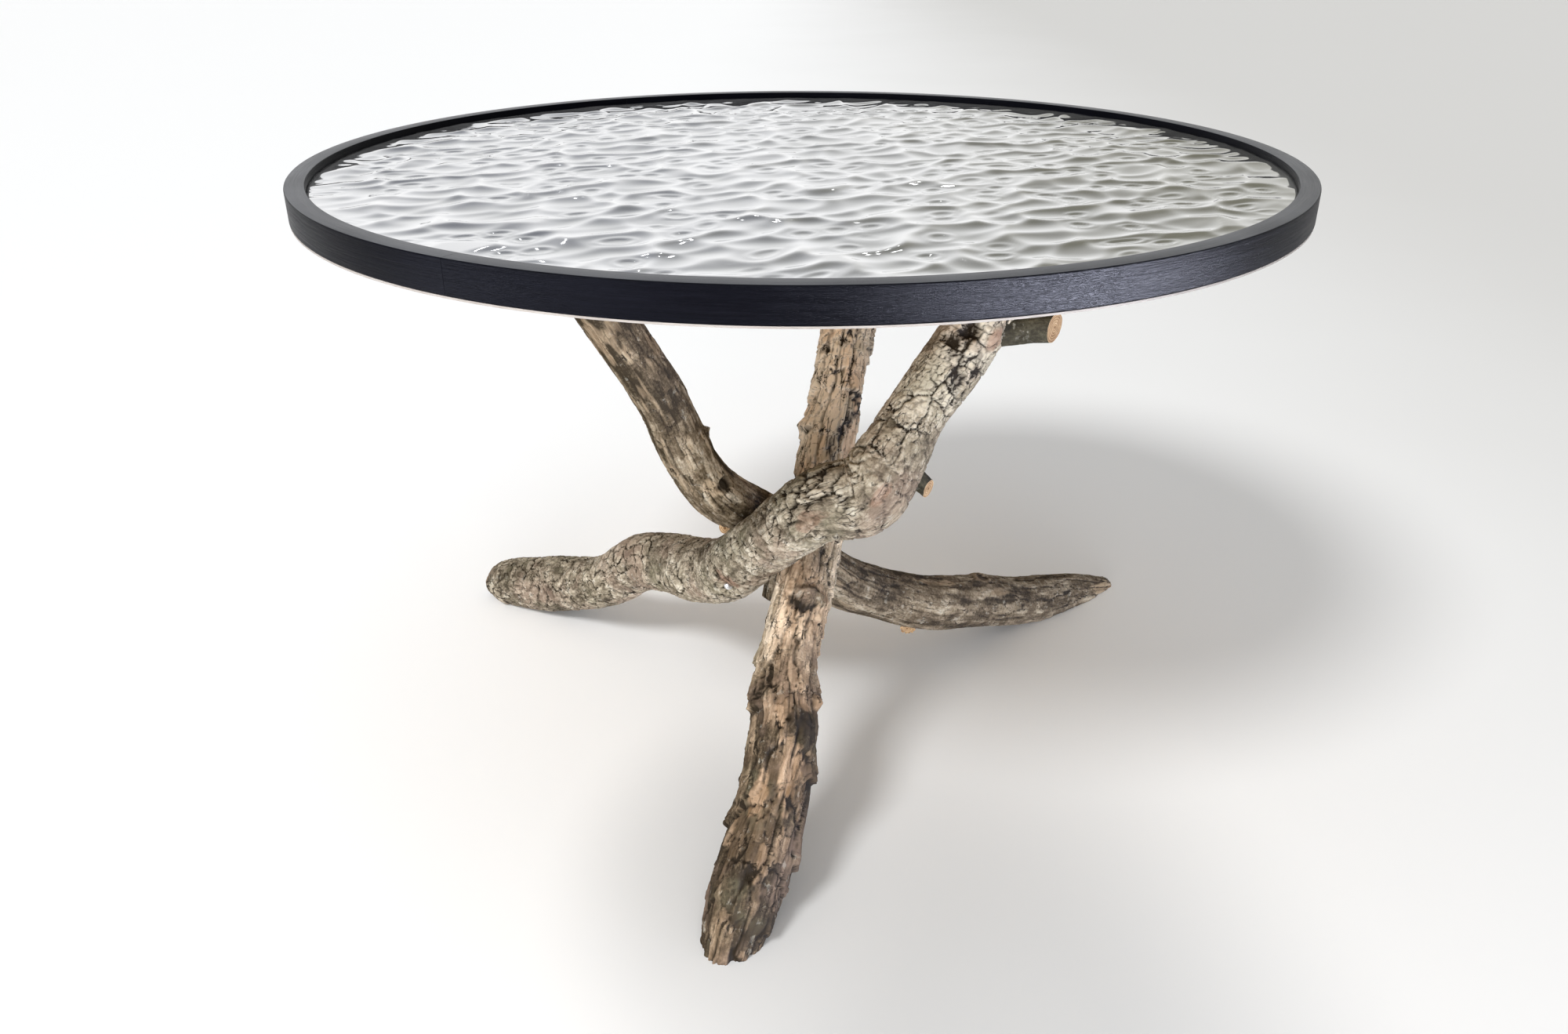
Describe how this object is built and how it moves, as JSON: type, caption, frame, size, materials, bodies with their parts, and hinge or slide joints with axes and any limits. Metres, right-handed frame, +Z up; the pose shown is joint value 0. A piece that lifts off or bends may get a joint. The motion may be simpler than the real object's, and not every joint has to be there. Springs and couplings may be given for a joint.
{
  "type": "round low table",
  "caption": "Round low table: a rippled mirror-like panel set in a dark wooden rim, carried by crossed tree branches that are sawn flat at the floor and screwed together where they meet.",
  "frame": {"origin": "on the floor, under the middle of the round top", "axes": "+Z up, -Y towards the front, +X to the right"},
  "size_m": [0.6999, 0.6998, 0.45],
  "materials": {
    "front_bark": "rough flaking bark, tan and grey brown",
    "left_bark": "pale grey bark cracked into small plates",
    "right_bark": "weathered grey brown bark, streaked along the grain",
    "rim": "black satin stain, fine grain",
    "plywood": "sanded plywood",
    "ripple": "silvered glass with a hammered, rippled face",
    "dowel": "smooth beech",
    "screw_steel": "bright zinc"
  },
  "bodies": {
    "root": {"front_branch": "front_bark", "left_branch": "left_bark", "right_branch": "right_bark", "base_panel": "plywood", "ripple_panel": "ripple", "rim_segment_1": "rim", "rim_dowel_1": "dowel", "rim_segment_2": "rim", "rim_dowel_2": "dowel", "rim_segment_3": "rim", "rim_dowel_3": "dowel", "front_top_screw_1": "screw_steel", "front_top_screw_2": "screw_steel", "left_top_screw_1": "screw_steel", "left_top_screw_2": "screw_steel", "right_top_screw_1": "screw_steel", "right_top_screw_2": "screw_steel", "front_left_crossing_screw": "screw_steel", "left_right_crossing_screw": "screw_steel"}
  },
  "joints": []
}
